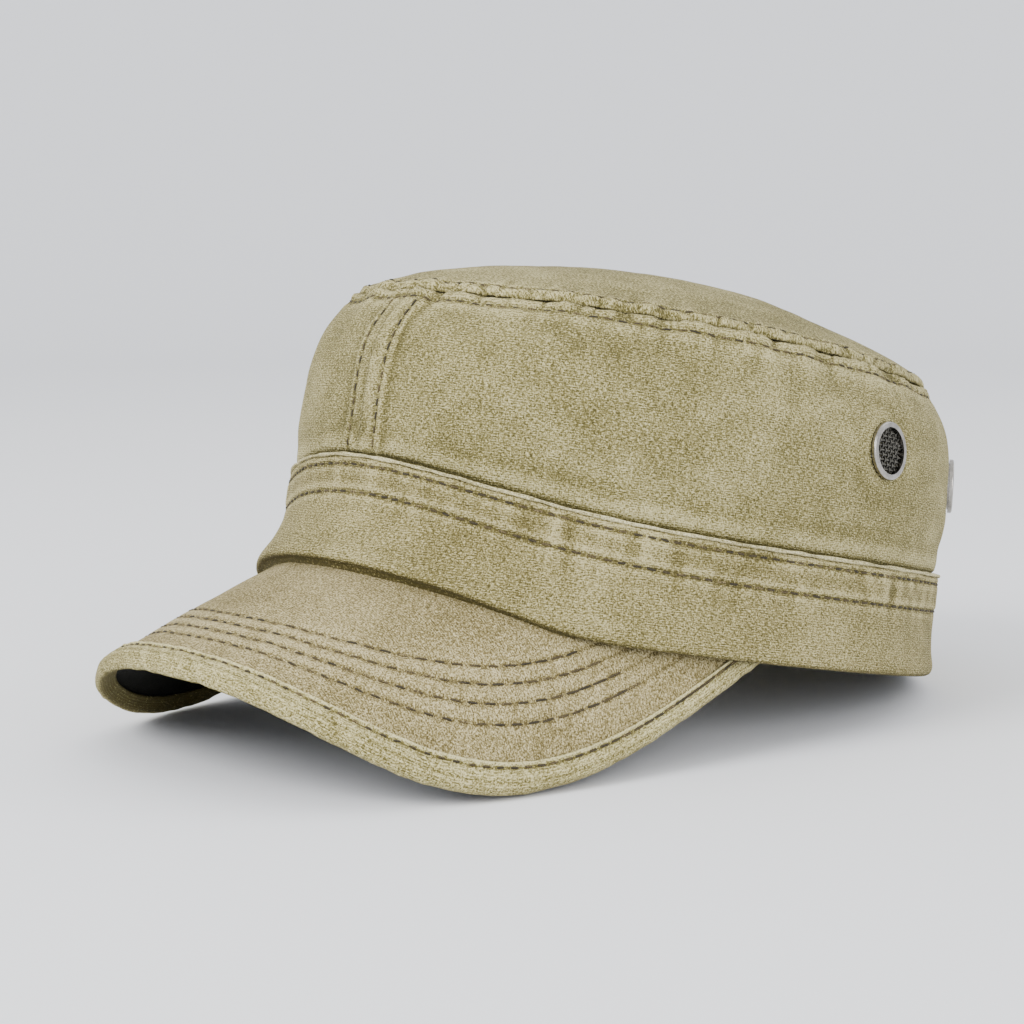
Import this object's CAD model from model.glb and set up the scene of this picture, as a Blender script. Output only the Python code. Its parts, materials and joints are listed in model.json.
import json
import math

import bmesh
import bpy
import numpy as np
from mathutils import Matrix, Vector

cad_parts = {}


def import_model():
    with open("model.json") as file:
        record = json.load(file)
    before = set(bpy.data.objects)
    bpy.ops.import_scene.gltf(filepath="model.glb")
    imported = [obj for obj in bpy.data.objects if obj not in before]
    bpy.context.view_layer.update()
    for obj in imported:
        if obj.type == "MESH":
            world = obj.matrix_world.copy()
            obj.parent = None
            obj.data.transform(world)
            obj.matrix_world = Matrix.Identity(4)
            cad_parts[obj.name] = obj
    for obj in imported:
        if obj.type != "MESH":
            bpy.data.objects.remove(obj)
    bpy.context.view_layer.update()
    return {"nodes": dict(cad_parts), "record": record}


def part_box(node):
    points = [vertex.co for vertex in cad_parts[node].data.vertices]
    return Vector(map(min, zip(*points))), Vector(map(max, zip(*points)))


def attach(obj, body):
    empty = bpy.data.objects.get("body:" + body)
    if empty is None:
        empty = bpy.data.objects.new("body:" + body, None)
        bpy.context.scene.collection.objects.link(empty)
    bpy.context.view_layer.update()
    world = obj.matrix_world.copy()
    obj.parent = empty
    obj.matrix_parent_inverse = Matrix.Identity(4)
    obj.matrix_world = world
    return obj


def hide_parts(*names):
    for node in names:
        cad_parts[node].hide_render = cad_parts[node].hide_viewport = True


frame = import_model()

# ---- the head frame, in millimetres
# z up from the band's lower edge, -y the front, +x the wearer's left. The mount gives its place.
mount = frame["record"]["mounts"][0]
ORIGIN = np.array(mount["pos_m"])
UP = -np.array(mount["axis"])
SIDE = np.array([1.0, 0.0, 0.0])
BACK = np.cross(UP, SIDE)
TURN = np.array([SIDE, BACK, UP])
MM = 0.001

# ---- driving sizes, the same as the part's
# The crown's oval at its waist, how far its side stands out from it by height, and the band's flare.
OVAL_HALF_WIDTH = 84.0
OVAL_HALF_LENGTH = 100.7
WAIST_HEIGHT = 29.5
FORM_BOTTOM = -45.0
UPPER_BAND_PROFILE = ((36.0, 0.4), (42.0, 1.2))
UPPER_WALL_PROFILE = ((56.0, 1.1), (69.0, -0.8), (79.7, -6.6), (85.5, -10.8))
LENGTH_SHARE = 1.15
BAND_EASE = 0.3
FLARE_HEIGHT = 14.5
FLARE_FRONT = 4.2
FLARE_SIDE = 0.6
FLARE_MIDDLE = 22.0
SWEAT_SIZES = (79.7, 96.8, 92.4)
SWEAT_FORM_HEIGHTS = (-4.0, 16.0, 36.0)
WALL_INSET = 1.1
CLOTH = 0.9
BAND_TOP = 28.1
BAND_FRONT_RISE = 10.3
BAND_RISE_SPREAD = math.radians(37.6)
BRIM_TOP = 0.9
BRIM_LOW = -2.4

# ---- sizes that only the visual has
# The band's flared lower lip, its second row of stitches, the top seam and the crown top's rim.
EDGE_RING = (86.5, 102.6, 101.1)
FLARE = 0.072
FLARE_SPREAD = math.radians(60)
LIP_RISE = 5.0
HEM_RETURN = 4.0
HEM_ROLL = 2.8
SECOND_ROW_HEIGHT = 18.4
SECOND_ROW_RISE = 11.2
SEAM_HEIGHT = 82.3
LOWER_ROW_HEIGHT = 79.7
RIM = (84.9, 72.8, 88.1, 87.8)
RIM_ROW = 0.996
DOME_RISE = 17.2
SEAM_LEAN = -0.017
TOP_HALF_WIDTH = 73
TOP_REACH = 88
# Millimetres of cloth round the head for a radian.
RUN = 92

# ---- brim
BRIM_RADIUS = 80.0
BRIM_TAPER = -0.11
BRIM_DROOP = 0.05
BRIM_SLOPE = math.radians(29.7)
BRIM_FRONT_Y = -95.7
BRIM_RISE = 14.9
BRIM_SIDE_Y = -31.0
OUTLINE_HALF_WIDTH = 97.1
OUTLINE_LENGTH = 139.4
OUTLINE_CENTRE = -74.2
OUTLINE_WIDTH_POWER = 1.73
OUTLINE_LENGTH_POWER = 3.05
OUTLINE_END = math.radians(-2)
BRIM_ROWS = (12.4, 16.5, 20.6, 24.6)
BINDING_EDGE = 5.4
BINDING_ROW = 4.3
BINDING_PROUD = 0.85
BINDING_BULGE = 0.8
BRIM_ROOT_INSET = 3.4
BRIM_DEEPEST = 95.0
BRIM_SHORTENING = 0.87

# ---- back opening and closure
OPENING_HALF_WIDTH = 31.0
OPENING_SIDE = 7.0
ARC_CENTRE_Y = 30.6
TAPE_WIDTH = 4.0
TAPE_ROUND = 2.0
BAND_STOPS = 22.9
PIPING_STOPS = 34.5
STITCHES_STOP = 36.5
SWEAT_STOPS = 22.5
LINING_STOPS = 31.5
LINING_HALF_WIDTH = 82
STRAP_HEIGHTS = (3.0, 21.0)

STITCH_PITCH = 4.2


def oval_ring(height, offset, ease=0.0):
    """Height, half width, reach to the front and reach to the back of one oval of the crown."""
    flare = min(1.0, max(0.0, (WAIST_HEIGHT - height) / FLARE_HEIGHT)) if ease else 0.0
    half_length = OVAL_HALF_LENGTH + LENGTH_SHARE * offset + ease
    half_width = OVAL_HALF_WIDTH + offset + ease + FLARE_SIDE * flare
    return (height, half_width, half_length + FLARE_FRONT * flare, half_length)


WALL_PROFILE = ((FORM_BOTTOM, 0.0), (WAIST_HEIGHT, 0.0)) + UPPER_BAND_PROFILE + UPPER_WALL_PROFILE
WALL_RINGS = [oval_ring(*point) for point in WALL_PROFILE]
FLARE_HEIGHTS = (FORM_BOTTOM, WAIST_HEIGHT - FLARE_HEIGHT, FLARE_MIDDLE, WAIST_HEIGHT)
BAND_PROFILE = tuple((height, 0.0) for height in FLARE_HEIGHTS) + UPPER_BAND_PROFILE
BAND_RINGS = [oval_ring(*point, BAND_EASE) for point in BAND_PROFILE]
SWEAT_RINGS = [(height, *SWEAT_SIZES) for height in SWEAT_FORM_HEIGHTS]


def place(points):
    """Points of the head frame, in millimetres, as points of the row frame, in metres."""
    points = np.asarray(points, float)
    return ORIGIN + MM * (points @ TURN)


# ---- small maths
def spline(knots, values):
    """Natural cubic through the knots, as a function."""
    x = np.array(knots, float)
    y = np.array(values, float)
    n = len(x)
    h = np.diff(x)
    matrix = np.eye(n)
    right = np.zeros(n)
    for i in range(1, n - 1):
        matrix[i, i - 1 : i + 2] = h[i - 1], 2 * (h[i - 1] + h[i]), h[i]
        right[i] = 6 * ((y[i + 1] - y[i]) / h[i] - (y[i] - y[i - 1]) / h[i - 1])
    bend = np.linalg.solve(matrix, right)

    def value(t):
        t = np.asarray(t, float)
        i = np.clip(np.searchsorted(x, t) - 1, 0, n - 2)
        a = x[i + 1] - t
        b = t - x[i]
        width = h[i]
        return (
            (bend[i] * a**3 + bend[i + 1] * b**3) / (6 * width)
            + (y[i] / width - bend[i] * width / 6) * a
            + (y[i + 1] / width - bend[i + 1] * width / 6) * b
        )

    return value


def smooth(low, high, value):
    """0 below low, 1 above high, an even S between them."""
    t = np.clip((np.asarray(value, float) - low) / (high - low), 0, 1)
    return t * t * (3 - 2 * t)


def bell(value, centre, width):
    return np.exp(-(((value - centre) / width) ** 2))


TABLES = {}


def noise(u, v, seed, period=96):
    """Seeded value noise from -1 to 1, repeating after a whole number of cells along u."""
    if (seed, period) not in TABLES:
        TABLES[seed, period] = np.random.default_rng(seed).uniform(-1, 1, (period, 64))
    table = TABLES[seed, period]
    u, v = np.broadcast_arrays(np.asarray(u, float), np.asarray(v, float))
    i = np.floor(u).astype(int)
    j = np.floor(v).astype(int)
    a = smooth(0, 1, u - i)
    b = smooth(0, 1, v - j)
    low = table[i % period, j % 64] * (1 - a) + table[(i + 1) % period, j % 64] * a
    high = table[i % period, (j + 1) % 64] * (1 - a) + table[(i + 1) % period, (j + 1) % 64] * a
    return low * (1 - b) + high * b


def round_noise(phi, v, seed, cells):
    """Noise that closes on itself round the head."""
    return noise((phi / math.tau + 0.5) * cells, v, seed, cells)


# ---- base surfaces
def ring_sizes(rings, height):
    """Half width and both reaches at a height: straight to the second ring, smooth above."""
    table = np.array(rings, float)
    height = np.asarray(height, float)
    above = [spline(table[1:, 0], table[1:, k])(np.maximum(height, table[1, 0])) for k in (1, 2, 3)]
    below = [np.interp(height, table[:2, 0], table[:2, k]) for k in (1, 2, 3)]
    return [np.where(height > table[1, 0], a, b) for a, b in zip(above, below)]


def oval(phi, half_width, front, back):
    """Across and along, of a point at an angle from the front of an oval."""
    return half_width * np.sin(phi), -np.cos(phi) * np.where(np.cos(phi) > 0, front, back)


def ring_surface(rings, inset, lean=0.0):
    def surface(phi, z):
        half_width, front, back = ring_sizes(rings, z)
        x, y = oval(phi, half_width - inset, front - inset, back - inset)
        return np.stack([x, y, z + lean * y * smooth(45, 80, z)], -1)

    return surface


def dome_surface(phi, rho):
    """The crown's top: 0 at its middle, 1 at the upper stitches, a little more at the seam."""
    height, half_width, front, back = RIM
    x, y = oval(phi, half_width * rho, front * rho, back * rho)
    dome = height + DOME_RISE * (1 - np.minimum(rho, 1) ** 2)
    drop = (height - SEAM_HEIGHT) * (np.maximum(rho - 1, 0) / (SEAM_RHO - 1)) ** 1.6
    return np.stack([x, y, dome - drop + SEAM_LEAN * y], -1)


SEAM_RHO = (ring_sizes(WALL_RINGS, SEAM_HEIGHT)[0] - WALL_INSET) / RIM[1]


def brim_turn(x, forward):
    radius = BRIM_RADIUS + BRIM_TAPER * forward
    return np.arcsin(np.clip(x / radius, -0.999, 0.999))


def brim_point(turn, forward, level=0.0):
    """Place on the brim: a turn round its arch, a distance down its slope, a level above it."""
    radius = BRIM_RADIUS + BRIM_TAPER * forward
    drop = radius * (1 - np.cos(turn) + BRIM_DROOP * turn**4)
    lean_x = np.sin(turn) + 4 * BRIM_DROOP * turn**3
    lean_z = np.cos(turn)
    size = np.hypot(lean_x, lean_z)
    return np.stack(
        [
            radius * np.sin(turn) + level * lean_x / size,
            BRIM_FRONT_Y - forward * math.cos(BRIM_SLOPE) + 0 * turn,
            BRIM_RISE - forward * math.sin(BRIM_SLOPE) - drop + level * lean_z / size,
        ],
        -1,
    )


def brim_height(x, y):
    """Height of the brim's middle layer under a point of the band."""
    forward = (BRIM_FRONT_Y - y) / math.cos(BRIM_SLOPE)
    return brim_point(brim_turn(x, forward), forward)[..., 2]


def outline(angle, inset):
    """Arch length and slope length of the brim's outline, moved in by an inset."""
    across = np.sign(np.cos(angle)) * np.abs(np.cos(angle)) ** (2 / OUTLINE_WIDTH_POWER)
    along = np.sign(np.sin(angle)) * np.abs(np.sin(angle)) ** (2 / OUTLINE_LENGTH_POWER)
    return (OUTLINE_HALF_WIDTH - inset) * across, OUTLINE_CENTRE + (OUTLINE_LENGTH - inset) * along


def brim_surface(level):
    def surface(angle, inset):
        across, forward = outline(angle, inset)
        turn = across / (BRIM_RADIUS + BRIM_TAPER * forward)
        return brim_point(turn, forward, level)

    return surface


def band_top(phi):
    return BAND_TOP + BAND_FRONT_RISE * np.exp(-((np.abs(phi) / BAND_RISE_SPREAD) ** 2))


def second_row(phi):
    return SECOND_ROW_HEIGHT + SECOND_ROW_RISE * np.exp(-((np.abs(phi) / BAND_RISE_SPREAD) ** 2))


def band_flare(phi):
    """How much wider the band's lower edge stands than its waist: most at the front."""
    turn = (np.asarray(phi, float) + math.pi) % math.tau - math.pi
    return FLARE * np.exp(-((np.abs(turn) / FLARE_SPREAD) ** 2))


def band_low(phi):
    """Lower edge of the band: level at the sides and back, riding on the brim in front."""
    swell = 1 + band_flare(phi)
    x, y = oval(phi, EDGE_RING[0] * swell, EDGE_RING[1] * swell, EDGE_RING[2] * swell)
    over_brim = np.where(y < BRIM_SIDE_Y, brim_height(x, y) + LIP_RISE, -30)
    return 2 * np.log1p(np.exp(over_brim / 2))


def opening_edge(x):
    """Height of the back opening's arch over a place across."""
    inside = np.clip(OPENING_HALF_WIDTH**2 - x**2, 0, None)
    return np.where(inside > 0, OPENING_SIDE + np.sqrt(inside), 0.0)


# ---- cloth from surfaces
def normals(surface, a, b, step_a, step_b):
    along_a = surface(a + step_a, b) - surface(a - step_a, b)
    along_b = surface(a, b + step_b) - surface(a, b - step_b)
    n = np.cross(along_a, along_b)
    return n / np.maximum(np.linalg.norm(n, axis=-1, keepdims=True), 1e-9)


def raised(surface, relief, step_a, step_b, sign=1.0):
    """The surface moved along its normal by a relief."""

    def moved(a, b):
        return surface(a, b) + sign * normals(surface, a, b, step_a, step_b) * relief(a, b)[..., None]

    moved.steps = (step_a, step_b)
    moved.sign = sign
    return moved


def mesh_object(name, points, faces, uv=None, tone=None, body="cap"):
    """A smooth mesh in the row frame, with cloth coordinates and a tone for wear and creases."""
    mesh = bpy.data.meshes.new(name)
    points = place(points)
    mesh.vertices.add(len(points))
    mesh.vertices.foreach_set("co", points.ravel())
    faces = np.asarray(faces, int)
    mesh.loops.add(faces.size)
    mesh.loops.foreach_set("vertex_index", faces.ravel())
    mesh.polygons.add(len(faces))
    mesh.polygons.foreach_set("loop_start", np.arange(0, faces.size, faces.shape[1]))
    if uv is not None:
        layer = mesh.uv_layers.new(name="cloth")
        layer.data.foreach_set("uv", np.asarray(uv, float)[faces.ravel()].ravel())
    if tone is not None:
        attribute = mesh.attributes.new("tone", "FLOAT", "POINT")
        attribute.data.foreach_set("value", np.asarray(tone, float))
    mesh.update(calc_edges=True)
    mesh.validate()
    mesh.shade_smooth()
    obj = bpy.data.objects.new(name, mesh)
    bpy.context.scene.collection.objects.link(obj)
    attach(obj, body)
    return obj


def grid_quads(rows, columns, closed=False):
    """Corners of the quads of a grid of points, whose columns may run right round."""
    i, j = np.meshgrid(np.arange(rows - 1), np.arange(columns - (not closed)), indexing="ij")
    k = (j + 1) % columns
    corners = (i * columns + j, i * columns + k, (i + 1) * columns + k, (i + 1) * columns + j)
    return np.stack(corners, -1).reshape(-1, 4)


def end_angle(across, half_width=OVAL_HALF_WIDTH):
    """Angle from the front at which a run of cloth stops beside the back opening."""
    return math.pi - math.asin(across / half_width)


def constant(value):
    """A value that is the same at every angle."""
    return lambda phi: value + 0 * phi


def blurred(values, reach):
    """Running mean over a square of a grid, its edges repeated."""
    for axis in (0, 1):
        pads = [(0, 0), (0, 0)]
        pads[axis] = (reach, reach)
        wide = np.pad(values, pads, mode="edge")
        total = np.cumsum(np.insert(wide, 0, 0, axis=axis), axis=axis)
        size = values.shape[axis]
        upper = np.take(total, np.arange(2 * reach + 1, size + 2 * reach + 1), axis=axis)
        values = (upper - np.take(total, np.arange(size), axis=axis)) / (2 * reach + 1)
    return values


def cloth_shell(name, surface, a, b, thickness, uv, relief=None, keep=None, extra_tone=0.0, body="cap"):
    """A closed sheet of cloth over a grid: outer face, inner face and the cut edges between them."""
    outer = surface(a, b)
    step_a, step_b = surface.steps
    inward = -surface.sign * normals(surface, a, b, step_a, step_b)
    inner = outer + inward * thickness
    rows, columns = a.shape
    quads = grid_quads(rows, columns)
    if keep is not None:
        inside = keep(outer)
        whole = inside[:-1, :-1] & inside[:-1, 1:] & inside[1:, 1:] & inside[1:, :-1]
        quads = quads[whole.ravel()]
    if surface.sign < 0:
        quads = quads[:, ::-1]
    count = rows * columns
    edges = np.concatenate([quads[:, [0, 1]], quads[:, [1, 2]], quads[:, [2, 3]], quads[:, [3, 0]]])
    key = np.sort(edges, axis=1)
    key = key[:, 0] * count + key[:, 1]
    _, first, copies = np.unique(key, return_index=True, return_counts=True)
    rim = edges[first[copies == 1]]
    side = np.stack([rim[:, 1], rim[:, 0], rim[:, 0] + count, rim[:, 1] + count], -1)
    faces = np.concatenate([quads, quads[:, ::-1] + count, side])
    height = relief(a, b) if relief is not None else np.zeros_like(a)
    tone = np.clip((height - blurred(height, 3)) / 0.16, -1, 1) + extra_tone
    tone = np.tile((tone + np.zeros_like(a)).ravel(), 2)
    points = np.concatenate([outer.reshape(-1, 3), inner.reshape(-1, 3)])
    uv = np.tile(np.stack(uv, -1).reshape(-1, 2), (2, 1))
    used = np.unique(faces)
    new = np.zeros(len(points), int)
    new[used] = np.arange(len(used))
    return mesh_object(name, points[used], new[faces], uv[used], tone[used], body)


# ---- stitches
STITCH_STATIONS = 7
STITCH_SIDES = 6


def even_steps(path, pitch):
    """Parameters that lie a pitch apart along a path, given as a function of 0 to 1."""
    t = np.linspace(0, 1, 1500)
    run = np.concatenate([[0], np.cumsum(np.linalg.norm(np.diff(path(t), axis=0), axis=1))])
    count = max(2, int(run[-1] / pitch))
    return np.interp((np.arange(count) + 0.5) * run[-1] / count, run, t), run[-1]


def stitch_row(surface, row, seed, pitch=STITCH_PITCH, share=0.74, width=0.3, height=0.36, sink=0.02):
    """Threads lying along a row of a surface: row gives the surface's two parameters for 0 to 1."""
    rng = np.random.default_rng(seed)
    middle, run = even_steps(lambda t: surface(*row(t)), pitch)
    count = len(middle)
    middle = middle + rng.normal(0, 0.05 * pitch / run, count)
    half = 0.5 * share * pitch * (1 + rng.normal(0, 0.07, count)) / run
    along = np.linspace(-1, 1, STITCH_STATIONS)
    t = middle[:, None] + half[:, None] * along
    centre = surface(*row(t))
    small = 0.3 / run
    tangent = surface(*row(t + small)) - surface(*row(t - small))
    tangent /= np.linalg.norm(tangent, axis=-1, keepdims=True)
    normal = surface.sign * normals(surface, *row(t), *surface.steps)
    across = np.cross(normal, tangent)
    swing = rng.normal(0, 0.10, count)[:, None, None]
    centre = centre + across * swing * along[None, :, None]
    arch = np.sqrt(np.clip(1 - np.abs(along) ** 2.6, 0, 1))
    turn = np.linspace(0, math.tau, STITCH_SIDES, endpoint=False)
    sideways = (0.35 + 0.65 * arch)[:, None] * np.cos(turn) * width
    upwards = arch[:, None] * np.sin(turn) * height * 0.8 + (arch * height - sink - height * 0.5)[:, None]
    body = across[:, :, None] * sideways[None, ..., None] + normal[:, :, None] * upwards[None, ..., None]
    points = (centre[:, :, None] + body).reshape(-1, 3)
    starts = np.arange(count) * STITCH_STATIONS * STITCH_SIDES
    faces = grid_quads(STITCH_STATIONS, STITCH_SIDES, closed=True)[None] + starts[:, None, None]
    faces = faces.reshape(-1, 4)
    tone = np.repeat(rng.uniform(-1, 1, count), STITCH_STATIONS * STITCH_SIDES)
    return points, faces, tone


def stitches(name, rows, body="cap"):
    """One object of several rows of stitches."""
    points, faces, tones, start = [], [], [], 0
    for row_points, row_faces, row_tone in rows:
        points.append(row_points)
        faces.append(row_faces + start)
        tones.append(row_tone)
        start += len(row_points)
    obj = mesh_object(name, np.concatenate(points), np.concatenate(faces), None, np.concatenate(tones), body)
    finish_with(obj, THREAD)


# ---- materials
def srgb(r, g, b):
    """Linear colour from sRGB values of 0 to 255."""
    c = np.array([r, g, b]) / 255
    return (*np.where(c <= 0.04045, c / 12.92, ((c + 0.055) / 1.055) ** 2.4), 1.0)


class Nodes:
    """Short calls for building a material's nodes."""

    def __init__(self, name):
        self.material = bpy.data.materials.new(name)
        self.material.use_nodes = True
        self.tree = self.material.node_tree
        self.shader = self.tree.nodes["Principled BSDF"]

    def link(self, source, target):
        self.tree.links.new(source, target)

    def node(self, kind, **values):
        made = self.tree.nodes.new("ShaderNode" + kind)
        for key, value in values.items():
            setattr(made, key, value)
        return made

    def math(self, operation, a, b=0.0):
        made = self.node("Math", operation=operation)
        for socket, value in zip(made.inputs, (a, b)):
            if isinstance(value, (int, float)):
                socket.default_value = value
            else:
                self.link(value, socket)
        return made.outputs[0]

    def scaled(self, vector, scale):
        made = self.node("Mapping")
        self.link(vector, made.inputs["Vector"])
        made.inputs["Scale"].default_value = scale
        return made.outputs[0]

    def noise(self, vector, scale, detail=2.0, rough=0.5):
        made = self.node("TexNoise")
        self.link(vector, made.inputs["Vector"])
        made.inputs["Scale"].default_value = scale
        made.inputs["Detail"].default_value = detail
        made.inputs["Roughness"].default_value = rough
        return made.outputs["Fac"]

    def centred(self, value, amount):
        """A noise from 0 to 1 as a swing either side of nothing."""
        return self.math("MULTIPLY", self.math("SUBTRACT", value, 0.5), amount)

    def total(self, *values):
        result = values[0]
        for value in values[1:]:
            result = self.math("ADD", result, value)
        return result

    def ramp(self, value, stops):
        made = self.node("ValToRGB")
        self.link(value, made.inputs[0])
        elements = made.color_ramp.elements
        while len(elements) < len(stops):
            elements.new(0.5)
        for element, (position, colour) in zip(elements, stops):
            element.position = position
            element.color = colour
        return made.outputs[0]

    def colour(self, value, stops):
        """Colours the shader by a value, through stops given in sRGB."""
        stops = [(position, srgb(*colour)) for position, colour in stops]
        self.link(self.ramp(value, stops), self.shader.inputs["Base Color"])

    def finish(self, **values):
        """Sets the shader's inputs, with an underline for each space of a name."""
        for key, value in values.items():
            self.shader.inputs[key.replace("_", " ")].default_value = value

    def bump(self, height, distance):
        made = self.node("Bump")
        made.inputs["Strength"].default_value = 1.0
        made.inputs["Distance"].default_value = distance
        self.link(height, made.inputs["Height"])
        self.link(made.outputs[0], self.shader.inputs["Normal"])


def canvas(name, dark, middle, light, wear=0.20, thread=1.0, mottle=1.0, grain_gain=0.45):
    """Washed cotton: mottled dye, uneven threads both ways, pale ridges and dark creases."""
    n = Nodes(name)
    uv = n.node("UVMap", uv_map="cloth").outputs[0]
    here = n.node("TexCoord").outputs["Object"]
    tone = n.node("Attribute", attribute_name="tone").outputs["Fac"]
    clouds = n.noise(here, 28, 3.0, 0.6)
    blotches = n.noise(here, 120, 3.0, 0.6)
    grain = n.noise(here, 2300, 2.0, 0.6)
    weft = n.noise(n.scaled(uv, (1.0, 3.6, 1)), 1.0, 2.0, 0.7)
    warp = n.noise(n.scaled(uv, (3.6, 1.2, 1)), 1.0, 2.0, 0.7)
    ribs = n.node("TexWave", wave_type="BANDS", bands_direction="Y")
    n.link(uv, ribs.inputs["Vector"])
    ribs.inputs["Scale"].default_value = 0.5
    ribs.inputs["Distortion"].default_value = 0.6
    value = n.total(
        n.centred(clouds, 0.62 * mottle),
        n.centred(blotches, 0.24 * mottle),
        n.centred(grain, 1.15 + grain_gain),
        n.centred(weft, 2.4 * thread),
        n.centred(warp, 1.6 * thread),
        n.math("MULTIPLY", n.math("SUBTRACT", ribs.outputs["Fac"], 0.5), 0.16 * thread),
        n.math("MULTIPLY", tone, wear),
    )
    value = n.math("ADD", value, 0.5)
    n.colour(value, [(0.08, dark), (0.5, middle), (0.95, light)])
    n.finish(Roughness=0.92, Specular_IOR_Level=0.14, Sheen_Weight=0.03, Sheen_Roughness=0.5)
    ridges = n.math("MULTIPLY", ribs.outputs["Fac"], 0.25)
    n.bump(n.total(ridges, n.centred(weft, 1.0), n.centred(warp, 0.6), n.centred(grain, 0.5)), 0.00034)
    return n.material


def thread_material():
    n = Nodes("sewing_thread")
    here = n.node("TexCoord").outputs["Object"]
    tone = n.node("Attribute", attribute_name="tone").outputs["Fac"]
    twist = n.noise(here, 2600, 2.0, 0.6)
    value = n.math("ADD", n.math("MULTIPLY", tone, 0.22), twist)
    n.colour(value, [(0.38, (40, 33, 14)), (0.70, (76, 63, 32)), (0.92, (170, 154, 104))])
    n.finish(Roughness=0.7)
    n.bump(twist, 0.0002)
    return n.material


def metal(name, colour, roughness, brushed, spots):
    """Satin metal with fine handling marks and darker tarnish in patches."""
    n = Nodes(name)
    here = n.node("TexCoord").outputs["Object"]
    fine = n.noise(n.scaled(here, (600, 600, 5200)), 1.0, 2.0, 0.6)
    tarnish = n.noise(here, spots, 3.0, 0.6)
    dark = tuple(0.62 * c for c in colour[:3]) + (1.0,)
    n.link(n.ramp(tarnish, [(0.30, dark), (0.62, colour)]), n.shader.inputs["Base Color"])
    n.finish(Metallic=1.0)
    n.link(n.math("ADD", n.centred(fine, brushed), roughness), n.shader.inputs["Roughness"])
    n.bump(fine, 0.00003)
    return n.material


def board_material():
    n = Nodes("brim_board_sheet")
    here = n.node("TexCoord").outputs["Object"]
    cloud = n.noise(here, 300, 3.0, 0.6)
    n.colour(cloud, [(0.2, (196, 194, 186)), (0.8, (222, 220, 212))])
    n.finish(Roughness=0.6)
    n.bump(cloud, 0.0001)
    return n.material


def floor_material():
    n = Nodes("studio_floor")
    here = n.node("TexCoord").outputs["Object"]
    cloud = n.noise(here, 3, 2.0, 0.5)
    stops = [(0.0, (0.86, 0.868, 0.89, 1)), (1.0, (0.87, 0.878, 0.90, 1))]
    n.link(n.ramp(cloud, stops), n.shader.inputs["Base Color"])
    n.finish(Roughness=0.9, Specular_IOR_Level=0.1)
    return n.material


def finish_with(obj, material):
    obj.data.materials.clear()
    obj.data.materials.append(material)


def stands_for(obj, material, slot, *nodes):
    """Gives a piece its material and slot, and hides the CAD nodes that it stands for."""
    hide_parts(*nodes)
    finish_with(obj, material)


OLIVE = canvas("washed_olive_canvas", (78, 72, 38), (131, 122, 76), (196, 186, 138))
OLIVE_BAND = canvas("washed_olive_band", (76, 69, 36), (128, 118, 73), (195, 184, 136), wear=0.3)
OLIVE_BRIM = canvas(
    "washed_olive_brim", (88, 77, 45), (142, 129, 85), (206, 192, 148), thread=0.55, grain_gain=1.3
)
BINDING = canvas("washed_olive_binding", (88, 80, 42), (150, 140, 90), (212, 202, 152), wear=0.3)
PIPING = canvas("worn_piping", (108, 100, 62), (172, 162, 116), (218, 210, 168), wear=0.2)
DARK_OLIVE = canvas("dark_olive_lining", (7, 7, 3), (13, 13, 7), (26, 26, 15), wear=0.12)
TAPE = canvas("seam_tape_cotton", (66, 62, 42), (96, 92, 66), (126, 122, 92), wear=0.12)
STRAP = canvas("strap_canvas", (80, 72, 34), (132, 120, 70), (186, 174, 120), wear=0.22)
LABEL = canvas("blank_label_weave", (30, 30, 24), (44, 44, 36), (62, 62, 52), wear=0.08, mottle=0.4)
THREAD = thread_material()
EYELET_METAL = metal("eyelet_satin_metal", srgb(172, 168, 161), 0.22, 0.16, 420)
BUCKLE_METAL = metal("buckle_satin_metal", srgb(176, 173, 166), 0.30, 0.22, 160)
WIRE_METAL = metal("black_wire", srgb(92, 90, 84), 0.42, 0.2, 900)
BOARD = board_material()


# ---- relief of the crown's side
EYELETS = {}
for place_name in ("front_left", "front_right", "rear_left", "rear_right"):
    low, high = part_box(f"eyelet_washer_{place_name}")
    middle = (np.array(low) + np.array(high)) / 2
    EYELETS[place_name] = ((middle - ORIGIN) / MM) @ TURN.T
SEAM_EDGE_X = 0.5
SEAM_ROWS_X = (-4.0, 6.0)
BACK_ROWS_X = (-3.6, 3.6)
EYELET_HOLE = 6.95


def seam_puckers(phi, below):
    """Puckers of the top seam by distance below it, shared by the two cloths it joins."""
    return round_noise(phi, 20 + below / 9, 3, 96) + 0.6 * round_noise(phi, 20 + below / 6, 4, 190)


def near_eyelet(points):
    """Distance to the nearest eyelet's middle."""
    return np.min([np.linalg.norm(points - middle, axis=-1) for middle in EYELETS.values()], axis=0)


wall_base = ring_surface(WALL_RINGS, WALL_INSET, SEAM_LEAN)


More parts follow.
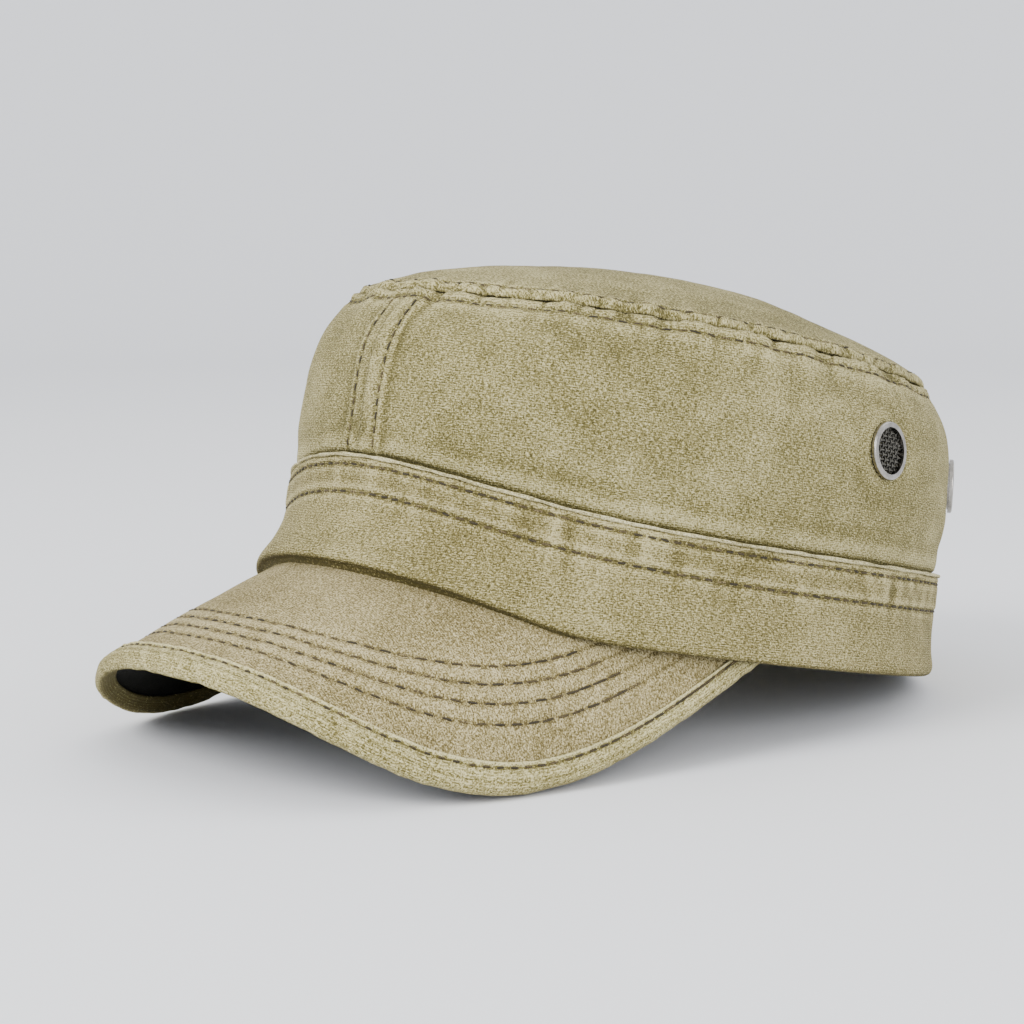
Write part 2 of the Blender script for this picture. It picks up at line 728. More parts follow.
def side_relief(phi, z):
    points = wall_base(phi, z)
    x, front = points[..., 0], np.cos(phi) > 0
    top = SEAM_HEIGHT - z
    above = z - band_top(phi)
    puckers = seam_puckers(phi, top)
    crinkle = 0.55 * puckers * np.exp(-np.clip(top - 2, 0, None) / 3.6) * smooth(-1, 0.6, top)
    long_puckers = 0.85 * round_noise(phi, top / 16, 5, 64) * np.exp(-np.clip(top, 0, None) / 9)
    crease = -0.75 * (1 - np.abs(round_noise(phi, z / 3, 15, 150))) ** 7 * bell(z, 81.4, 1.6)
    groove = -0.6 * bell(z, LOWER_ROW_HEIGHT, 0.7) + crease
    pillow = 0.15 * bell(z, 81.2, 1.0) - 0.32 * smooth(0.6, 0.0, top)
    over_band = 0.4 * bell(above, 4.2, 2.4) - 0.8 * smooth(2.2, 0.6, above)
    band_pull = 0.22 * round_noise(phi, above / 12, 6, 84) * np.exp(-np.clip(above, 0, None) / 6)
    folds = 0.9 * noise(phi * RUN / 46 + 40, z / 30, 7)
    folds = folds + 0.42 * noise(phi * RUN / 17 + z / 22 + 60, z / 15, 8)
    small = 0.12 * noise(phi * RUN / 6 + 30, z / 5, 9)
    folds = folds * smooth(0, 10, above) * smooth(0, 12, top)
    fell = 0.42 * smooth(-6.4, -5.0, x) * smooth(8.4, 7.0, x)
    fell = fell + 0.38 * smooth(SEAM_EDGE_X - 0.3, SEAM_EDGE_X + 0.3, x) * smooth(8.2, 7.0, x)
    fell = fell - sum(0.42 * bell(x, row, 0.8) for row in SEAM_ROWS_X)
    fell = fell + 0.22 * noise(x / 2.2 + 50, z / 3.1, 10) * bell(x, 1.0, 6.0)
    seam = -0.6 * bell(x, 0, 0.5) + 0.3 * bell(x, 0, 4.5)
    seam = seam - sum(0.4 * bell(x, row, 0.7) for row in BACK_ROWS_X)
    seam = seam + 0.2 * noise(x / 2.5 + 50, z / 3.3, 11) * bell(x, 0, 6.0)
    joined = np.where(front, fell, seam)
    calm = smooth(8.5, 14, near_eyelet(points))
    total = crinkle + long_puckers + groove + pillow + over_band + band_pull + small + joined
    return (total + folds) * (0.1 + 0.9 * calm) - 0.12 * (1 - calm)


side_cloth = raised(wall_base, side_relief, 1e-3, 0.1)


def side_rows(phi, low):
    """Heights for the side's grid: wide steps behind the band, fine ones above it."""
    hidden = np.linspace(0, 1, 9)[:-1, None] * (band_top(phi) - 2.5 - low) + low
    start = np.maximum(band_top(phi) - 2.5, low)
    shown = np.linspace(0, 1, 64)[:, None] * (SEAM_HEIGHT - start) + start
    return np.concatenate([np.minimum(hidden, start - 1e-3 * np.arange(8, 0, -1)[:, None]), shown])


def crown_side(side, start, end):
    phi = np.linspace(start, end, 330)
    x, y = oval(phi, OVAL_HALF_WIDTH - WALL_INSET, OVAL_HALF_LENGTH, OVAL_HALF_LENGTH)
    low = np.maximum(band_low(phi), 2.0)
    low = np.where(y > 0, np.maximum(low, opening_edge(x)), low)
    z = side_rows(phi, low)
    a = np.broadcast_to(phi, z.shape).copy()
    obj = cloth_shell(
        f"crown_side_{side}_sewn", side_cloth, a, z, CLOTH, (a * RUN, z), side_relief,
        keep=lambda p: near_eyelet(p) > EYELET_HOLE, extra_tone=-1.8 * bell(z - band_top(a), 1.3, 0.9),
    )
    stands_for(obj, OLIVE, "canvas", f"crown_side_{side}")


CENTRE = SEAM_EDGE_X / OVAL_HALF_WIDTH
crown_side("left", CENTRE + 3e-4, math.pi - 6e-4)
crown_side("right", -math.pi + 6e-4, CENTRE - 3e-4)


# ---- crown top
def top_relief(phi, rho):
    inward = (1 - rho) * TOP_REACH
    puckers = seam_puckers(phi, (RIM_ROW - SEAM_RHO) * TOP_REACH - inward + 0.35)
    crinkle = 0.55 * puckers * np.exp(-np.abs(inward) / 4.2)
    crease = -0.75 * (1 - np.abs(round_noise(phi, inward / 3 + 30, 16, 150))) ** 7
    crease = crease * bell(inward, -1.2, 1.5)
    groove = -0.4 * bell(rho, RIM_ROW, 0.6 / TOP_REACH) + crease
    pillow = 0.1 * bell(rho, 1.012, 1.0 / TOP_REACH) - 0.28 * smooth(SEAM_RHO - 0.008, SEAM_RHO, rho)
    x, y = oval(phi, TOP_HALF_WIDTH * rho, TOP_REACH * rho, TOP_REACH * rho)
    folds = 0.9 * noise(x / 42 + 40, y / 38 + 30, 12) + 0.35 * noise(x / 15 + 40, y / 13 + 30, 13)
    small = 0.1 * noise(x / 5 + 40, y / 5 + 30, 14)
    return crinkle + groove + pillow + (folds + small) * smooth(0, 12, inward)


top_cloth = raised(dome_surface, top_relief, 1e-3, 1e-3, sign=-1.0)


def crown_top():
    inner = np.linspace(0.004, 0.90, 56)
    outer = np.linspace(0.90, SEAM_RHO, 26)[1:]
    rho = np.concatenate([inner, outer])
    phi = np.linspace(-math.pi, math.pi, 601)
    a, b = np.meshgrid(phi, rho)
    x, y = oval(a, TOP_HALF_WIDTH * b, TOP_REACH * b, TOP_REACH * b)
    obj = cloth_shell("crown_top_sewn", top_cloth, a, b, CLOTH, (x, y), top_relief)
    weld(obj)
    stands_for(obj, OLIVE, "canvas", "crown_top")


def weld(obj, distance=2e-5):
    """Joins the two ends of a closed run of cloth."""
    edit = bmesh.new()
    edit.from_mesh(obj.data)
    bmesh.ops.remove_doubles(edit, verts=edit.verts, dist=distance)
    edit.to_mesh(obj.data)
    edit.free()
    obj.data.shade_smooth()


crown_top()


# ---- band and its piping
def band_base(phi, z):
    """The band: its waist above the second row of stitches, flaring to its lower edge below it."""
    low = band_low(phi)
    high = second_row(phi) + 1
    share = np.clip((high - z) / (high - low), 0, 1) ** 1.7
    above = ring_sizes(BAND_RINGS, np.maximum(z, WAIST_HEIGHT))
    swell = 1 + band_flare(phi)
    half_width, front, back = [
        a * (1 - share) + b * swell * share for a, b in zip(above, EDGE_RING)
    ]
    depth = np.clip(low - z, 0, HEM_RETURN)
    over_brim = smooth(0.5, 5, low)
    rolled = 1 - np.clip((z - low) / HEM_ROLL, 0, 1)
    inward = 1.5 * (1 - np.sqrt(1 - rolled**2)) + depth * (0.3 + 0.9 * over_brim)
    inward = inward - 0.5 * bell(z - low, HEM_ROLL, HEM_ROLL)
    x, y = oval(phi, half_width - inward, front - inward, back - inward)
    drop = over_brim * (LIP_RISE - BRIM_TOP + 0.3) * smooth(0.6, HEM_RETURN, depth)
    return np.stack([x, y, np.maximum(z, low) - drop + 0 * x], -1)


BAND_END = end_angle(BAND_STOPS)


def band_relief(phi, z):
    top = band_top(phi) - z
    row = z - second_row(phi)
    low = z - band_low(phi)
    between = smooth(-1.5, 1.5, row) * smooth(-0.5, 1.5, top)
    ripple = round_noise(phi, z / 14, 21, 74) + 0.55 * round_noise(phi, z / 9, 22, 150)
    below = np.exp(-np.clip(-row, 0, None) / 4.5) * smooth(1.0, -1.0, row)
    calm_front = 0.55 + 0.45 * smooth(0.2, 0.9, np.abs(phi))
    waves = 0.6 * ripple * (between + 0.75 * below) * calm_front
    grooves = -0.45 * bell(row, 0, 0.75) - 0.4 * bell(top, 1.9, 0.7)
    pillow = 0.25 * between
    folds = 0.45 * noise(phi * RUN / 40 + 40, z / 20, 23) + 0.16 * noise(phi * RUN / 11 + 60, z / 10, 24)
    edge = -0.1 * smooth(0.7, 0.0, top)
    return waves + grooves + pillow + folds * smooth(0, 6, low) + edge


band_cloth = raised(band_base, band_relief, 1e-3, 0.1)


def outer_band():
    phi = np.linspace(-BAND_END, BAND_END, 620)
    edge = band_low(phi)
    x, y = oval(phi, OVAL_HALF_WIDTH, OVAL_HALF_LENGTH, OVAL_HALF_LENGTH)
    low = np.where(y > 0, np.maximum(edge, opening_edge(x)), edge)
    hem = edge - np.linspace(1, 0.1, 8)[:, None] * HEM_RETURN * smooth(1.5, 0.5, low - edge)
    hem = np.where(low > edge + 0.5, low - 0.01 * np.arange(8, 0, -1)[:, None], hem)
    z = np.concatenate([hem, low + np.linspace(0, 1, 52)[:, None] * (band_top(phi) - low)])
    a = np.broadcast_to(phi, z.shape).copy()
    shade = -1.9 * smooth(1.3, -0.4, z - edge)
    obj = cloth_shell("outer_band_sewn", band_cloth, a, z, CLOTH, (a * RUN, z), band_relief, extra_tone=shade)
    stands_for(obj, OLIVE_BAND, "canvas", "outer_band")


outer_band()


def tube(name, centre, across, normal, width, height, tone_seed, material, sides=10):
    """A soft flattened cord along a line of points, with its cloth coordinates."""
    turn = np.linspace(0, math.tau, sides, endpoint=False)
    points = (
        centre[:, None]
        + across[:, None] * (np.cos(turn)[None, :] * width[:, None])[..., None]
        + normal[:, None] * (np.sin(turn)[None, :] * height[:, None])[..., None]
    )
    faces = grid_quads(len(centre), sides, closed=True)
    run = np.concatenate([[0], np.cumsum(np.linalg.norm(np.diff(centre, axis=0), axis=1))])
    uv = np.stack(np.broadcast_arrays(run[:, None], (turn * width.mean())[None, :]), -1).reshape(-1, 2)
    tone = np.repeat(0.7 + 0.5 * noise(run / 5, 0, tone_seed), sides)
    obj = mesh_object(name, points.reshape(-1, 3), faces, uv, tone)
    finish_with(obj, material)
    return obj


def band_piping():
    end = end_angle(PIPING_STOPS)
    phi = np.linspace(-end, end, 900)
    z = band_top(phi) + 0.45
    base = ring_surface(BAND_RINGS, -0.2)
    out = normals(base, phi, z, 1e-3, 0.1)
    wobble = 0.2 * round_noise(phi, 0, 31, 110) + 0.16 * round_noise(phi, 0, 32, 210)
    centre = base(phi, z) + out * wobble[:, None]
    centre[:, 2] += 0.12 * round_noise(phi, 0, 33, 130)
    along = np.gradient(centre, axis=0)
    along /= np.linalg.norm(along, axis=1, keepdims=True)
    across = np.cross(out, along)
    swell = 1 + 0.3 * round_noise(phi, 0, 34, 170)
    obj = tube("band_piping_sewn", centre, across, out, 0.46 * swell, 0.62 * swell, 35, PIPING)
    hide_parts("band_piping")


band_piping()


# ---- brim
def arch_angles(count):
    """Outline angles a nearly even distance apart along the brim's edge."""
    surface = brim_surface(0.0)
    share = smooth(0, 1, np.linspace(0, 1, 6000))
    angle = OUTLINE_END + (math.pi - 2 * OUTLINE_END) * share
    points = surface(angle, 0 * angle)
    run = np.concatenate([[0], np.cumsum(np.linalg.norm(np.diff(points, axis=0), axis=1))])
    return np.interp(np.linspace(0, run[-1], count), run, angle), run[-1]


BRIM_ANGLES, BRIM_EDGE = arch_angles(420)


def root_inset(angle, wall_inset):
    """How far in from the outline the brim goes before it is inside the crown's wall."""
    inset = np.linspace(0, BRIM_DEEPEST, 400)
    a, d = np.meshgrid(angle, inset)
    points = brim_surface(0.0)(a, d)
    half_width, front, _ = ring_sizes(WALL_RINGS, 0)
    across = points[..., 0] / (half_width - wall_inset)
    inside = across**2 + (points[..., 1] / (front - wall_inset)) ** 2 < 1
    return np.where(inside.any(0), inset[inside.argmax(0)], BRIM_DEEPEST)


def edge_run(angle):
    return np.interp(angle, BRIM_ANGLES, np.linspace(0, BRIM_EDGE, len(BRIM_ANGLES)))


def brim_relief(angle, inset):
    run = edge_run(angle)
    grooves = sum(-0.26 * bell(inset, row, 0.6) for row in BRIM_ROWS)
    puffs = sum(0.09 * bell(inset, (a + b) / 2, 1.5) for a, b in zip(BRIM_ROWS, BRIM_ROWS[1:]))
    near = sum(bell(inset, row, 2.2) for row in BRIM_ROWS)
    puckers = 0.10 * noise(run / 2.6, inset / 4, 41, 600) * near
    folds = 0.32 * noise(run / 38, inset / 26, 42) + 0.14 * noise(run / 12, inset / 10, 43)
    edge = 0.12 * noise(run / 3.4, inset / 7, 44, 600) * bell(inset, BINDING_EDGE + 1, 4)
    return grooves + puffs + puckers + folds + edge


brim_top_cloth = raised(brim_surface(BRIM_TOP), brim_relief, 1e-3, 0.05, sign=-1.0)


def under_relief(angle, inset):
    return 0.5 * brim_relief(angle, inset)


brim_under_cloth = raised(brim_surface(BRIM_LOW), under_relief, 1e-3, 0.05)


def brim_sheet(name, surface, relief, thickness, edge, wall_inset, rows, material, slot, node):
    deep = root_inset(BRIM_ANGLES, wall_inset)
    share = np.linspace(0, 1, rows)[:, None]
    d = edge + share * (np.maximum(deep, edge + 1) - edge)
    a = np.broadcast_to(BRIM_ANGLES, d.shape).copy()
    points = surface(a, d)
    uv = (points[..., 0], points[..., 1] / BRIM_SHORTENING)
    stands_for(cloth_shell(name, surface, a, d, thickness, uv, relief), material, slot, node)


brim_sheet(
    "brim_upper_sewn", brim_top_cloth, brim_relief, 0.8, 1.2, BRIM_ROOT_INSET, 92,
    OLIVE_BRIM, "canvas", "brim_upper_cloth",
)
brim_sheet(
    "brim_under_sewn", brim_under_cloth, under_relief, 0.7, 1.2, BRIM_ROOT_INSET, 60,
    DARK_OLIVE, "under_cloth", "brim_under_cloth",
)
board_face = raised(brim_surface(-0.1), lambda a, d: 0 * a, 1e-3, 0.05, sign=-1.0)
brim_sheet("brim_board_sheet", board_face, None, 1.3, 2.5, 1.6, 24, BOARD, "board", "brim_board")


def binding_point(angle, along):
    """The binding's outer face: from its edge on top, round the brim's edge, to its edge below."""
    top = BRIM_TOP + BINDING_PROUD
    low = BRIM_LOW - BINDING_PROUD
    half = (top - low) / 2
    middle = (top + low) / 2
    bend = math.pi * half / 2
    flat = BINDING_EDGE - half * BINDING_BULGE
    along = np.asarray(along, float)
    turn = np.clip((along - flat) / (2 * bend), 0, 1) * math.pi
    inset = np.where(along < flat, BINDING_EDGE - along, 0)
    after = np.clip(along - flat - 2 * bend, 0, None)
    inset = np.where(along >= flat, half * BINDING_BULGE * (1 - np.sin(turn)) + after, inset)
    level = middle + half * np.cos(turn)
    across, forward = outline(angle, inset)
    arch = across / (BRIM_RADIUS + BRIM_TAPER * forward)
    return brim_point(arch, forward, level)


# Worked out with a smaller round than the fold has, so the edge below stops a little short.
RUN_ROUND = 2.05
BINDING_RUN = 2 * (BINDING_EDGE - RUN_ROUND * BINDING_BULGE) + math.pi * RUN_ROUND


def binding_relief(angle, along):
    run = edge_run(angle)
    folds = 0.16 * noise(run / 3.0 + along / 3, along / 9, 51, 600)
    folds = folds + 0.12 * noise(run / 9, along / 5, 52, 600)
    groove = -0.36 * bell(along, BINDING_EDGE - BINDING_ROW, 0.5)
    lip = 0.28 * bell(along, 0.25, 0.5) - 0.5 * smooth(0.35, 0.0, along)
    ridges = 0.13 * bell(along, 2.9, 0.5) + 0.12 * bell(along, 4.6, 0.5)
    return folds + groove + lip + ridges


binding_cloth = raised(binding_point, binding_relief, 1e-3, 0.05, sign=1.0)


def brim_binding():
    along = np.linspace(0, BINDING_RUN, 44)
    spread = np.interp(np.linspace(0, 1, 700), np.linspace(0, 1, len(BRIM_ANGLES)), BRIM_ANGLES)
    a, b = np.meshgrid(spread, along)
    light = 0.5 * bell(b, 0.2, 0.5) - 2.0 * smooth(BINDING_RUN * 0.62, BINDING_RUN * 0.75, b)
    uv = (edge_run(a), b)
    obj = cloth_shell("brim_binding_sewn", binding_cloth, a, b, 0.7, uv, binding_relief, extra_tone=light)
    stands_for(obj, BINDING, "binding_cloth", "brim_binding")


brim_binding()


# ---- rows of stitches
def level_row(start, end, height):
    """A row round the head at a height, which may change with the angle."""

    def row(t):
        phi = start + (end - start) * t
        return phi, height(phi)

    return row


STITCHED = end_angle(STITCHES_STOP)
stitches(
    "crown_top_stitches",
    [
        stitch_row(side_cloth, level_row(-math.pi, math.pi, constant(LOWER_ROW_HEIGHT)), 61, 3.9),
        stitch_row(top_cloth, level_row(-math.pi, math.pi, constant(RIM_ROW)), 62, 3.9),
    ],
)
stitches(
    "band_stitches",
    [
        stitch_row(band_cloth, level_row(-STITCHED, STITCHED, lambda p: band_top(p) - 1.9), 63, 3.6),
        stitch_row(band_cloth, level_row(-STITCHED, STITCHED, second_row), 64, 3.8),
    ],
)


def upright_row(x, low, high, back=False):
    """A row up the crown at a place across."""

    def row(t):
        phi = np.arcsin(x / OVAL_HALF_WIDTH) + 0 * t
        return (math.pi - phi if back else phi), low + (high - low) * t

    return row


stitches(
    "centre_seam_stitches",
    [stitch_row(side_cloth, upright_row(x, 40.5, 79), 65 + i, 3.4) for i, x in enumerate(SEAM_ROWS_X)]
    + [stitch_row(side_cloth, upright_row(x, 43, 79, True), 67 + i, 3.4) for i, x in enumerate(BACK_ROWS_X)],
)


def brim_row(inset):
    """A row along the brim at an inset, as far as the crown on both sides."""
    fine = np.linspace(OUTLINE_END, math.pi - OUTLINE_END, 600)
    seen = fine[root_inset(fine, -3.0) > inset + 1]
    return lambda t: (seen[0] + (seen[-1] - seen[0]) * t, inset + 0 * t)


stitches(
    "brim_stitches",
    [stitch_row(brim_top_cloth, brim_row(inset), 71 + i, 4.3) for i, inset in enumerate(BRIM_ROWS)],
)


def binding_row(t):
    angle = OUTLINE_END + 0.02 + (math.pi - 2 * OUTLINE_END - 0.04) * t
    return angle, BINDING_EDGE - BINDING_ROW + 0 * t


stitches("binding_stitches", [stitch_row(binding_cloth, binding_row, 76, 3.6)])


# ---- inner pieces
def plain_relief(seed, amount):
    def relief(phi, z):
        return amount * (round_noise(phi, z / 12, seed, 50) + 0.4 * round_noise(phi, z / 6, seed + 1, 130))

    return relief


def inner_piece(node, rings, inset, ends, low, high, thickness, grid, material, slot, seed):
    """A plain run of cloth inside the cap, between two angles and two edges."""
    rows, columns = grid
    relief = plain_relief(seed, 0.12)
    surface = raised(ring_surface(rings, inset), relief, 1e-3, 0.1)
    phi = np.linspace(*ends, columns)
    z = low(phi) + np.linspace(0, 1, rows)[:, None] * (high(phi) - low(phi))
    a = np.broadcast_to(phi, z.shape).copy()
    obj = cloth_shell(f"{node}_sewn", surface, a, z, thickness, (a * RUN, z), relief)
    stands_for(obj, material, slot, node)


SWEAT_ABOVE_BRIM = (79.8, 96.9, 92.5)
SWEAT_HALF_WIDTH = 79.7


def sweat_low(phi):
    x, y = oval(phi, *SWEAT_ABOVE_BRIM)
    over = np.where(y < BRIM_SIDE_Y, brim_height(x, y) + BRIM_LOW, -30)
    return np.maximum(2 * np.log1p(np.exp(over / 2)), 0.5)


def above_opening(low, margin, half_width):
    """A lower edge that also stays clear of the back opening."""

    def edge(phi):
        x = half_width * np.sin(phi)
        inside = np.clip((OPENING_HALF_WIDTH + margin) ** 2 - x**2, 0, None)
        arch = np.where(inside > 0, OPENING_SIDE + np.sqrt(inside), 0)
        return np.where(np.cos(phi) < 0, np.maximum(low(phi), arch), low(phi))

    return edge


sweat_end = end_angle(SWEAT_STOPS, SWEAT_HALF_WIDTH)
inner_piece(
    "sweatband", SWEAT_RINGS, 0.0, (-sweat_end, sweat_end), above_opening(sweat_low, 2.0, SWEAT_HALF_WIDTH),
    constant(33), 0.9, (24, 420), DARK_OLIVE, "sweat_cloth", 81,
)
lining_end = end_angle(LINING_STOPS, LINING_HALF_WIDTH)
inner_piece(
    "band_interlining", WALL_RINGS, 2.15, (-lining_end, lining_end),
    above_opening(lambda p: np.maximum(band_low(p), 1.0), 5.5, 81.8), lambda p: band_top(p) - 0.3,
    0.4, (16, 360), TAPE, "seam_tape", 83,
)
half_tape = 5 / 81
for node, inset, ends, low, high, grid, seed in (
    ("top_seam_tape", 3.5, (-math.pi, math.pi), 75.5, 80.5, (8, 400), 85),
    ("front_seam_tape", 2.9, (-half_tape, half_tape), 42, 75, (40, 12), 87),
    ("back_seam_tape", 2.9, (math.pi - half_tape, math.pi + half_tape), 50, 75, (30, 12), 89),
):
    inner_piece(
        node, WALL_RINGS, inset, ends, constant(low), constant(high), 0.4, grid, TAPE, "seam_tape", seed
    )
inner_piece(
    "blank_label", SWEAT_RINGS, 1.1, (end_angle(66, 79), end_angle(38, 79)), constant(8), constant(27),
    0.35, (16, 40), LABEL, "label", 91,
)


# ---- edge of the back opening
def opening_path(t):
    """Across and height along the opening's edge, from the wearer's right foot over to the left."""
    side = OPENING_SIDE
    arc = math.pi * OPENING_HALF_WIDTH
    s = np.asarray(t, float) * (2 * side + arc)
    turn = np.clip((s - side) / OPENING_HALF_WIDTH, 0, math.pi)
    x = -OPENING_HALF_WIDTH * np.cos(turn)
    z = side + OPENING_HALF_WIDTH * np.sin(turn)
    z = z - np.clip(side - s, 0, None) - np.clip(s - side - arc, 0, None)
    return x, z, np.stack([-np.cos(turn), np.sin(turn)], -1)


def tape_point(t, along):
    """The tape's face: along runs from its outer edge, over the opening's edge, to its inner one."""
    x, z, away = opening_path(t)
    over = along - TAPE_WIDTH
    bend = math.pi * TAPE_ROUND
    turn = np.clip(over / bend, 0, 1) * math.pi
    distance = np.where(over < 0, -over, 0) + np.clip(over - bend, 0, None) - 1.0 * np.sin(turn)
    x = x + away[..., 0] * distance
    z = np.maximum(z + away[..., 1] * distance, 0.0)
    band_share = smooth(band_top(math.pi) + 2.5, band_top(math.pi) + 0.5, z)
    sizes_band = ring_sizes(BAND_RINGS, z)
    sizes_wall = ring_sizes(WALL_RINGS, z)
    out_width = band_share * (sizes_band[0] + 0.9) + (1 - band_share) * (sizes_wall[0] - 0.2)
    out_back = band_share * (sizes_band[2] + 0.9) + (1 - band_share) * (sizes_wall[2] - 0.2)
    in_width, in_back = sizes_wall[0] - 2.6, sizes_wall[2] - 2.6
    inner_share = (1 - np.cos(turn)) / 2
    width = out_width + (in_width - out_width) * inner_share
    back = out_back + (in_back - out_back) * inner_share
    y = back * np.sqrt(1 - (x / width) ** 2)
    return np.stack([x, y, z], -1)


TAPE_RUN = 2 * TAPE_WIDTH + math.pi * TAPE_ROUND


def tape_relief(t, along):
    ripples = 0.16 * noise(t * 36, along / 5, 93) + 0.1 * noise(t * 80, along / 4, 94)
    return ripples - 0.3 * bell(along, 1.2, 0.45) - 0.3 * smooth(0.4, 0, along)


tape_cloth = raised(tape_point, tape_relief, 1e-3, 0.05)


def opening_binding():
    t = np.linspace(0.001, 0.999, 240)
    a, b = np.meshgrid(t, np.linspace(0, TAPE_RUN, 30))
    obj = cloth_shell("opening_binding_sewn", tape_cloth, a, b, 0.6, (a * 111, b), tape_relief)
    stands_for(obj, BINDING, "binding_cloth", "opening_binding")
    rows = [stitch_row(tape_cloth, lambda u: (0.02 + 0.96 * u, 1.2 + 0 * u), 95, 3.4)]
    stitches("opening_stitches", rows)


opening_binding()


# ---- strap and tab
def strip(node, body, radius, start, end, thickness):
    """A strip of doubled cloth on the closure's arc, with rounded edges and two rows of stitches."""
    low, high = STRAP_HEIGHTS
    middle = (low + high) / 2
    first, last = math.radians(start), math.radians(end)

    def face(sign):
        def point(angle, z):
            edge = (high - low) / 2 - np.abs(z - middle)
            round_off = thickness / 2 * np.sqrt(np.clip(1 - np.clip(1 - edge / 0.7, 0, 1) ** 2, 0, 1))
            r = radius + sign * round_off
            return np.stack([r * np.sin(angle), ARC_CENTRE_Y + r * np.cos(angle), z], -1)

        return point

    def relief(angle, z):
        rows = -0.14 * bell(np.abs(z - middle), (high - low) / 2 - 2.0, 0.5)
        return rows + 0.05 * noise(angle * 20, z / 4, 96) - 0.04

    angle = np.linspace(first, last, 130)
    rounded = 0.7 * (1 - np.cos(np.linspace(0, math.pi / 2, 6)))
    z = np.concatenate([low + rounded, np.linspace(low + 0.9, high - 0.9, 26), high - rounded[::-1]])
    a, b = np.meshgrid(angle, z)
    outer = raised(face(1), relief, 1e-3, 0.02, sign=-1.0)
    inner = raised(face(-1), relief, 1e-3, 0.02, sign=1.0)
    front, back = outer(a, b), inner(a, b)
    front[[0, -1]] = back[[0, -1]] = face(0)(a, b)[[0, -1]]
    rows, columns = a.shape
    index = np.arange(rows * columns).reshape(rows, columns)
    quads = grid_quads(rows, columns)[:, [0, 3, 2, 1]]
    count = rows * columns
    ends = [index[:, 0], index[::-1, -1]]
    caps = [np.stack([e[:-1], e[1:], e[1:] + count, e[:-1] + count], -1) for e in ends]
    faces = np.concatenate([quads, quads[:, ::-1] + count] + caps)
    points = np.concatenate([front.reshape(-1, 3), back.reshape(-1, 3)])
    uv = np.tile(np.stack([a * radius, b], -1).reshape(-1, 2), (2, 1))
    height = relief(a, b)
    tone = np.tile(np.clip((height - blurred(height, 2)) / 0.08, -1, 1).ravel(), 2)
    obj = mesh_object(f"{node}_sewn", points, faces, uv, tone, body)
    weld(obj, 1e-6)
    stands_for(obj, STRAP, "strap_cloth", node)

    def row_at(height):
        return lambda t: (first + (last - first) * (0.02 + 0.96 * t), height + 0 * t)

    rows = [
        stitch_row(outer, row_at(height), seed, 3.2, width=0.26, height=0.2)
        for height, seed in ((low + 2.0, 97), (high - 2.0, 98))
    ]
    stitches(f"{node}_sewn_stitches", rows, body)


strip("closure_strap", "strap", radius=65.0, start=-38, end=38, thickness=1.2)
strip("strap_tab", "cap", radius=66.45, start=-34, end=-13.4, thickness=1.1)


# ---- woven wire in the eyelets
def eyelet_wires(name):
    """Plain-woven round wires across one eyelet, bowed outwards a little."""
    corners = np.array([v.co for v in frame["nodes"][f"eyelet_mesh_{name}"].data.vertices])
    centre = corners.mean(0)
    _, _, axes = np.linalg.svd(corners - centre)
    out = axes[2] * np.sign(axes[2] @ (centre - ORIGIN))
    right = np.cross(UP, out)
    right /= np.linalg.norm(right)
    upward = np.cross(out, right)
    pitch, wire, reach, sides = 1.25, 0.3, 6.2, 6
    points, faces, start = [], [], 0
    turn = np.linspace(0, math.tau, sides, endpoint=False)
    for one, other, phase in ((right, upward, 0), (upward, right, 1)):
        for k in range(-6, 7):
            offset = k * pitch
            half = math.sqrt(max(reach**2 - offset**2, 0))
            if half < pitch:
                continue
            t = np.linspace(-half, half, int(half * 2 / 0.24) + 2)
            swing = 0.27 * np.cos(math.pi * (t / pitch + k + phase))
            bow = 0.35 * (1 - (t**2 + offset**2) / reach**2)
            line = t[:, None] * one + offset * other + (swing + bow)[:, None] * out
            ring = (np.cos(turn)[:, None] * other + np.sin(turn)[:, None] * out) * wire
            body = centre / MM + line[:, None] + ring[None]
            points.append(body.reshape(-1, 3))
            faces.append(start + grid_quads(len(t), sides, closed=True))
            start += len(t) * sides
    local = (np.concatenate(points) * MM - ORIGIN) @ TURN.T / MM
    obj = mesh_object(f"eyelet_wires_{name}", local, np.concatenate(faces))
    stands_for(obj, WIRE_METAL, "wire_mesh", f"eyelet_mesh_{name}")


for place_name in EYELETS:
    eyelet_wires(place_name)

for node, obj in frame["nodes"].items():
    if node.startswith(("eyelet_ring", "eyelet_washer")):
        finish_with(obj, EYELET_METAL)
    if node.startswith("buckle"):
        finish_with(obj, BUCKLE_METAL)


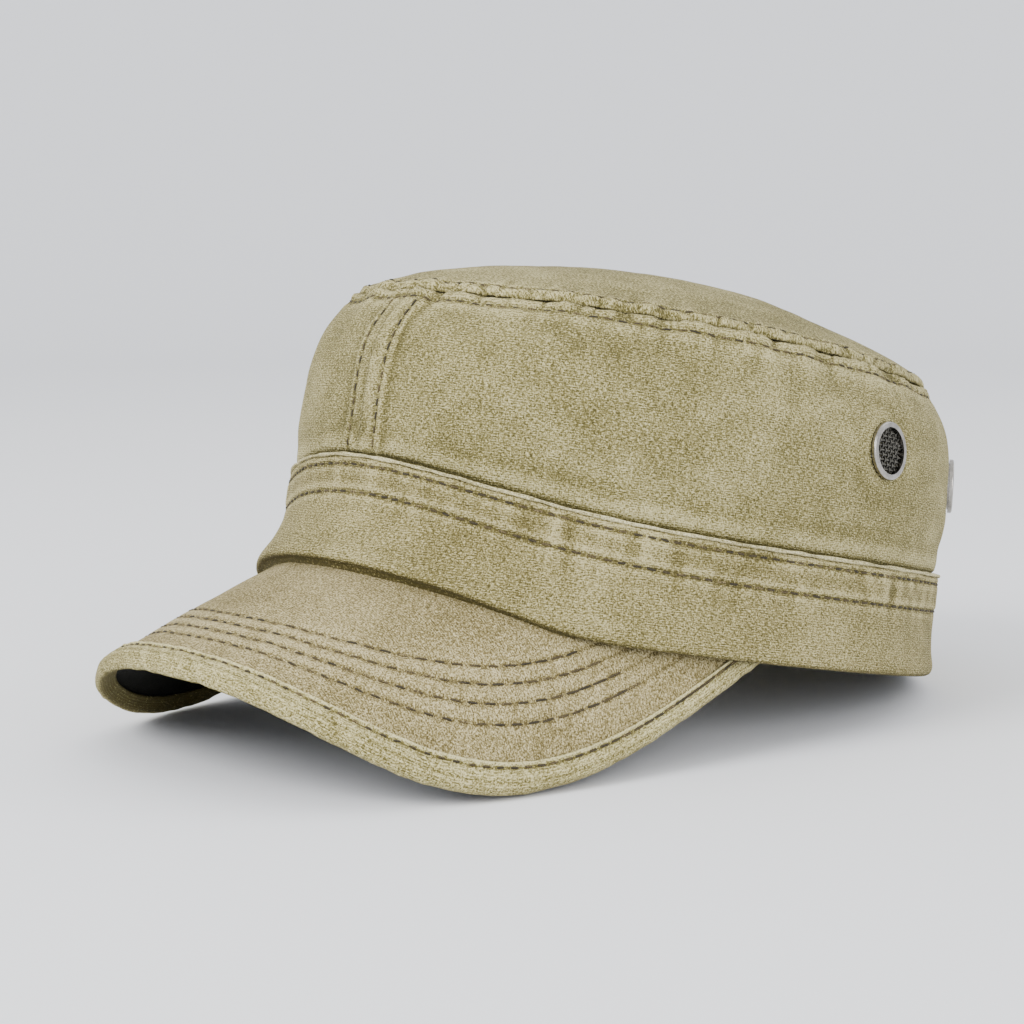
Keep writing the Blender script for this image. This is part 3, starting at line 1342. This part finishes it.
# ---- studio
def studio():
    """A pale floor that curves up into a wall all round."""
    radius, bend, height = 3.0, 0.8, 1.6
    profile = [(0.6, 0.0), (1.4, 0.0)]
    for step in range(13):
        turn = step / 12 * math.pi / 2
        profile.append((radius - bend + bend * math.sin(turn), bend * (1 - math.cos(turn))))
    profile.append((radius, height))
    sides = 96
    turn = np.linspace(0, math.tau, sides, endpoint=False)
    points = np.array([[r * math.cos(t), r * math.sin(t), z] for r, z in profile for t in turn])
    points = np.concatenate([points, [[0, 0, 0]]])
    mesh = bpy.data.meshes.new("studio_floor")
    faces = grid_quads(len(profile), sides, closed=True)[:, ::-1].tolist()
    faces += [(len(points) - 1, j, (j + 1) % sides) for j in range(sides)]
    mesh.from_pydata(points.tolist(), [], faces)
    mesh.shade_smooth()
    floor = bpy.data.objects.new("studio_floor", mesh)
    bpy.context.scene.collection.objects.link(floor)
    finish_with(floor, floor_material())


def area_light(name, direction, distance, size, power):
    data = bpy.data.lights.new(name, "AREA")
    data.shape = "DISK"
    data.size = size
    data.energy = power
    light = bpy.data.objects.new(name, data)
    aim = Vector(direction).normalized()
    light.location = aim * distance + Vector((0, 0, 0.06))
    light.rotation_euler = aim.to_track_quat("Z", "Y").to_euler()
    bpy.context.scene.collection.objects.link(light)


def world():
    made = bpy.data.worlds.new("studio_light")
    made.use_nodes = True
    background = made.node_tree.nodes["Background"]
    background.inputs[0].default_value = (0.97, 0.98, 1.0, 1)
    background.inputs[1].default_value = 1.38
    bpy.context.scene.world = made


CAMERA_TURN = math.radians(43.81)
CAMERA_RISE = math.radians(5.11)
CAMERA_DISTANCE = 0.6334
CAMERA_TARGET = (0.0, 0.0, 50.0)
CAMERA_LENS = 77.42
CAMERA_SHIFT = (-0.1178, -0.0498)


def camera():
    data = bpy.data.cameras.new("camera")
    data.lens = CAMERA_LENS
    data.sensor_width = 36.0
    data.shift_x, data.shift_y = CAMERA_SHIFT
    data.clip_start = 0.01
    made = bpy.data.objects.new("camera", data)
    towards = Vector((
        math.sin(CAMERA_TURN) * math.cos(CAMERA_RISE),
        -math.cos(CAMERA_TURN) * math.cos(CAMERA_RISE),
        math.sin(CAMERA_RISE),
    ))
    made.location = Vector(place(CAMERA_TARGET)) + towards * CAMERA_DISTANCE
    made.rotation_euler = towards.to_track_quat("Z", "Y").to_euler()
    bpy.context.scene.collection.objects.link(made)
    bpy.context.scene.camera = made


studio()
world()
area_light("key", (-0.15, -1.0, 0.72), 1.7, 1.0, 25)
area_light("fill", (1.25, -0.35, 0.45), 1.9, 1.3, 20)
area_light("rim", (0.6, 1.1, 0.9), 2.0, 1.2, 4)
camera()
